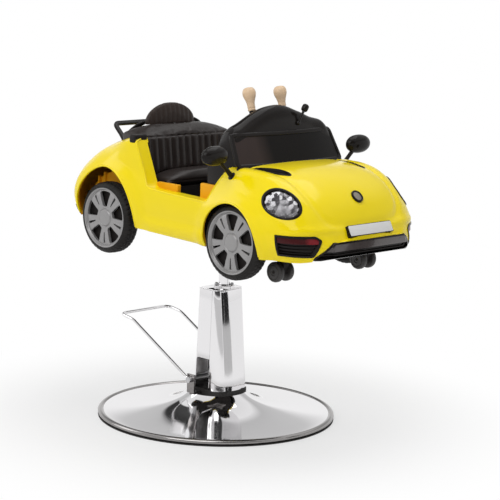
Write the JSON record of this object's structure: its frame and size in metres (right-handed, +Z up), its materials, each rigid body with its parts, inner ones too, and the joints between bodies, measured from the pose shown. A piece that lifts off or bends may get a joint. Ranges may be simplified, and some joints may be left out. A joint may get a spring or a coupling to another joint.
{
  "type": "kids car barber chair",
  "caption": "Child's salon chair: a small open car body with a padded seat, on a hydraulic lift column with a foot lever and a round chromed base.",
  "frame": {"origin": "centre of the round base, on the floor", "axes": "+Z up, +X towards the car's nose, +Y towards the car's left side"},
  "size_m": [1.012, 0.7, 0.9867],
  "materials": {
    "chrome": "polished",
    "steel": "machined",
    "black_steel": "satin powder coat",
    "rubber": "matt",
    "yellow_shell": "glossy",
    "black_gloss": "glossy",
    "black_matte": "fine grain",
    "black_vinyl": "grained vinyl",
    "red_strip": "glossy",
    "white_plate": "glossy",
    "silver_disc": "polished",
    "reflector": "mirror",
    "clear_lens": "clear",
    "smoked_screen": "smoked",
    "tan_grip": "satin",
    "tyre": "matt",
    "silver_rim": "silver paint",
    "caster_tread": "matt"
  },
  "bodies": {
    "base": {"base_plate": "chrome", "base_ring": "rubber", "ballast_plate": "steel", "pump_housing": "steel", "pump_bolts": "steel", "front_cover": "chrome", "rear_cover": "chrome", "cover_collar": "rubber", "cylinder_head": "chrome", "head_screws": "steel", "lever_yoke": "black_steel"},
    "ram": {"ram": "chrome"},
    "pedal": {"foot_lever": "chrome", "lever_shaft": "steel"},
    "plunger": {"pump_plunger": "steel"},
    "steering": {"steering_yoke": "black_gloss", "steering_grips": "tan_grip"},
    "stub": {"stub_lever": "black_gloss"},
    "wheel_front_left": {"rim_front_left": "silver_rim", "tyre_front_left": "tyre"},
    "wheel_front_right": {"rim_front_right": "silver_rim", "tyre_front_right": "tyre"},
    "wheel_rear_left": {"rim_rear_left": "silver_rim", "tyre_rear_left": "tyre"},
    "wheel_rear_right": {"rim_rear_right": "silver_rim", "tyre_rear_right": "tyre"},
    "caster_left": {"caster_fork_left": "black_matte"},
    "caster_roller_left": {"caster_wheels_left": "caster_tread"},
    "caster_right": {"caster_fork_right": "black_matte"},
    "caster_roller_right": {"caster_wheels_right": "caster_tread"},
    "car": {"mount_bolts": "steel", "mount_nuts": "steel", "axles": "steel", "mount_plate": "black_steel", "front_body": "yellow_shell", "rear_body": "yellow_shell", "sill_left": "yellow_shell", "sill_right": "yellow_shell", "corner_outlets": "black_gloss", "lower_grille": "black_gloss", "hood_vents": "black_gloss", "headlight_bezels": "black_gloss", "dash_cowl": "black_gloss", "windscreen_frame": "black_gloss", "mirror_left": "black_gloss", "mirror_right": "black_gloss", "rear_wing": "black_gloss", "floor_pan": "black_matte", "seat_base": "black_matte", "seat_cushion": "black_vinyl", "seat_back": "black_vinyl", "headrest": "black_vinyl", "outlet_strips": "red_strip", "number_plate": "white_plate", "emblem_boss": "silver_disc", "headlight_reflectors": "reflector", "headlight_lenses": "clear_lens", "windscreen_pane": "smoked_screen"}
  },
  "joints": [
    {"name": "ram_lift", "type": "slide", "parent": "base", "child": "ram", "axis": [0, 0, 1], "range_m": [-0.09, 0.07]},
    {"name": "seat_swivel", "type": "hinge", "parent": "ram", "child": "car", "pos_m": [0.02, 0, 0.54], "axis": [0, 0, 1], "continuous": true},
    {"name": "foot_pedal", "type": "hinge", "parent": "base", "child": "pedal", "pos_m": [-0.016, 0, 0.117], "axis": [0, -1, 0], "range_deg": [0, 25], "stiffness_Nm_per_rad": 6, "springref_deg": -20.05},
    {"name": "plunger_stroke", "type": "slide", "parent": "base", "child": "plunger", "axis": [0, 0, 1], "range_m": [0, 0.0125]},
    {"name": "steering_turn", "type": "hinge", "parent": "car", "child": "steering", "pos_m": [0.15, 0, 0.885], "axis": [-0.9063, 0, 0.4226], "range_deg": [-35, 35]},
    {"name": "stub_flick", "type": "hinge", "parent": "car", "child": "stub", "pos_m": [0.244, 0.054, 0.889], "axis": [1, 0, 0], "range_deg": [-15, 15]},
    {"name": "spin_front_left", "type": "hinge", "parent": "car", "child": "wheel_front_left", "pos_m": [0.295, 0.226, 0.583], "axis": [0, 1, 0], "continuous": true},
    {"name": "spin_front_right", "type": "hinge", "parent": "car", "child": "wheel_front_right", "pos_m": [0.295, -0.226, 0.583], "axis": [0, 1, 0], "continuous": true},
    {"name": "spin_rear_left", "type": "hinge", "parent": "car", "child": "wheel_rear_left", "pos_m": [-0.233, 0.226, 0.583], "axis": [0, 1, 0], "continuous": true},
    {"name": "spin_rear_right", "type": "hinge", "parent": "car", "child": "wheel_rear_right", "pos_m": [-0.233, -0.226, 0.583], "axis": [0, 1, 0], "continuous": true},
    {"name": "caster_swivel_left", "type": "hinge", "parent": "car", "child": "caster_left", "pos_m": [0.418, 0.168, 0.56], "axis": [0, 0, 1], "continuous": true},
    {"name": "caster_roll_left", "type": "hinge", "parent": "caster_left", "child": "caster_roller_left", "pos_m": [0.408, 0.168, 0.513], "axis": [0, 1, 0], "continuous": true},
    {"name": "caster_swivel_right", "type": "hinge", "parent": "car", "child": "caster_right", "pos_m": [0.418, -0.168, 0.56], "axis": [0, 0, 1], "continuous": true},
    {"name": "caster_roll_right", "type": "hinge", "parent": "caster_right", "child": "caster_roller_right", "pos_m": [0.408, -0.168, 0.513], "axis": [0, 1, 0], "continuous": true}
  ],
  "couplings": [
    {"joint": "plunger_stroke", "follows": "foot_pedal", "m_per_rad": 0.026}
  ]
}
